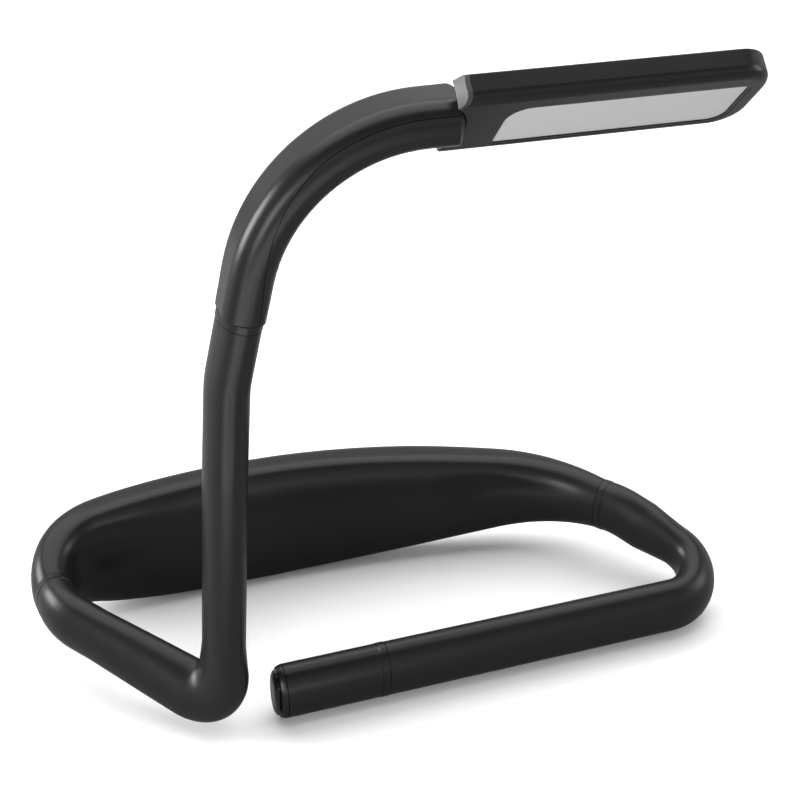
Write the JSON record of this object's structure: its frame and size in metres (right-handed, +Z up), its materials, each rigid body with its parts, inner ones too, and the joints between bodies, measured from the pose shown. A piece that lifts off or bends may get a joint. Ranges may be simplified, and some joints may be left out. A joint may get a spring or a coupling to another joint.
{
  "type": "neck reading light",
  "caption": "Rechargeable reading light worn round the neck, with bendable arms, a swivelling lamp head on a curved arch, and an end switch.",
  "frame": {"origin": "middle of the flat under the neck band, where the light rests on a table", "axes": "+X along the neck band towards the switch arm's bend, +Y to the back of the neck, +Z up"},
  "size_m": [0.199, 0.0831, 0.177],
  "materials": {
    "silicone_skin": "soft matte silicone",
    "satin_black_plastic": "fine satin moulding",
    "grey_collar_plastic": "satin moulding",
    "gloss_black_plastic": "gloss moulding",
    "opal_diffuser": "opal, satin face",
    "white_plastic": "white moulding",
    "inner_black_plastic": "moulded",
    "clear_lens": "frosted light pipe",
    "circuit_board": "solder mask",
    "led_package": "phosphor over a white body",
    "battery_foil": "pouch foil",
    "foam": "closed-cell foam",
    "steel_hardware": "bright steel",
    "gooseneck_steel": "wound steel",
    "cable_jacket": "flexible jacket",
    "bright_socket": "tinned shell"
  },
  "bodies": {
    "neck": {"neck_skin": "silicone_skin", "neck_front_shell": "inner_black_plastic", "neck_back_shell": "inner_black_plastic", "neck_screws": "steel_hardware", "battery_cell": "battery_foil", "battery_foam_pad": "foam", "charge_board": "circuit_board", "usb_c_socket": "bright_socket", "charge_light_lens": "clear_lens", "neck_core_crimps": "steel_hardware", "neck_end_rings": "satin_black_plastic", "left_neck_core": "gooseneck_steel", "right_neck_core": "gooseneck_steel", "left_neck_cable": "cable_jacket", "right_neck_cable": "cable_jacket", "left_root_sleeve": "silicone_skin", "right_root_sleeve": "silicone_skin"},
    "left_forearm": {"left_forearm_sleeve": "silicone_skin", "left_forearm_core": "gooseneck_steel", "left_forearm_cable": "cable_jacket"},
    "left_riser": {"left_riser_sleeve": "silicone_skin", "left_riser_core": "gooseneck_steel", "left_riser_cable": "cable_jacket"},
    "arch": {"arch_root_sleeve": "silicone_skin", "arch_ring": "satin_black_plastic", "arch_outer_shell": "satin_black_plastic", "arch_inner_cover": "satin_black_plastic", "arch_screws": "steel_hardware", "arch_core": "gooseneck_steel", "arch_cable": "cable_jacket", "swivel_bolt": "steel_hardware", "swivel_spring_washer": "steel_hardware", "swivel_nut": "steel_hardware"},
    "head": {"head_collar": "grey_collar_plastic", "head_housing": "satin_black_plastic", "head_top_cover": "satin_black_plastic", "window_frame": "gloss_black_plastic", "window_diffuser": "opal_diffuser", "light_tray": "white_plastic", "led_board": "circuit_board", "leds": "led_package", "head_screws": "steel_hardware", "head_cable": "cable_jacket"},
    "right_upper": {"right_upper_sleeve": "silicone_skin", "right_upper_core": "gooseneck_steel", "right_upper_cable": "cable_jacket"},
    "right_forearm": {"right_forearm_sleeve": "silicone_skin", "right_forearm_core": "gooseneck_steel", "right_forearm_cable": "cable_jacket", "right_arm_ring": "satin_black_plastic", "end_housing": "satin_black_plastic", "end_trim_ring": "satin_black_plastic", "switch_board": "circuit_board", "tact_switch": "inner_black_plastic"},
    "button": {"end_button": "gloss_black_plastic"}
  },
  "joints": [
    {"name": "left_shoulder", "type": "hinge", "parent": "neck", "child": "left_forearm", "pos_m": [-0.0526, -0.03927, 0.01685], "axis": [0.1473, -0.1459, 0.9783], "range_deg": [-45, 6]},
    {"name": "left_elbow", "type": "hinge", "parent": "left_forearm", "child": "left_riser", "pos_m": [-0.0219, -0.06591, 0.029], "axis": [0.9967, -0.0081, -0.0808], "range_deg": [-50, 50]},
    {"name": "arch_bend", "type": "hinge", "parent": "left_riser", "child": "arch", "pos_m": [-0.01366, -0.0574, 0.10905], "axis": [0, -1, 0], "range_deg": [-40, 45]},
    {"name": "head_swivel", "type": "hinge", "parent": "arch", "child": "head", "pos_m": [0.04427, -0.0574, 0.16507], "axis": [1, 0, 0], "range_deg": [-135, 135]},
    {"name": "right_shoulder", "type": "hinge", "parent": "neck", "child": "right_upper", "pos_m": [0.11505, -0.03351, 0.01726], "axis": [0.1568, -0.2008, 0.967], "range_deg": [-8, 40]},
    {"name": "right_elbow", "type": "hinge", "parent": "right_upper", "child": "right_forearm", "pos_m": [0.0976, -0.06213, 0.00817], "axis": [-0.0007, 0, 1], "range_deg": [-12, 50]},
    {"name": "button_press", "type": "slide", "parent": "right_forearm", "child": "button", "axis": [0.9992, 0.0397, 0.0007], "range_m": [0, 0.0006], "stiffness_N_per_m": 900, "springref_m": -0.0008}
  ]
}
